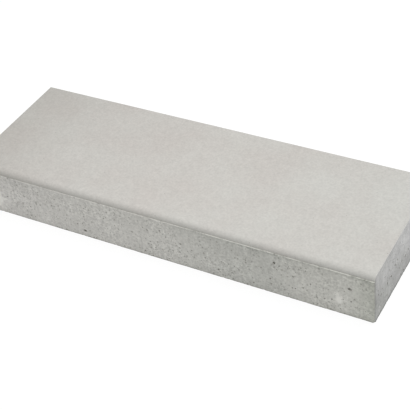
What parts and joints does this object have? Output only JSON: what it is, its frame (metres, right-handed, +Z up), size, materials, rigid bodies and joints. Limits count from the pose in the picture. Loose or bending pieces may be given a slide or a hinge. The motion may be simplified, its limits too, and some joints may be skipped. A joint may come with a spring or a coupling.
{
  "type": "concrete block step",
  "caption": "Solid precast concrete block step for outdoor stairs, with a smooth tread and a rounded nosing along its front edge.",
  "frame": {"origin": "centre of the underside, on the ground the block lies on", "axes": "+X along the length of the tread, riser with the nosing facing -Y, +Z up"},
  "size_m": [1.2, 0.4, 0.15],
  "materials": {
    "concrete": "matte"
  },
  "bodies": {
    "root": {"block_step": "concrete"}
  },
  "joints": []
}
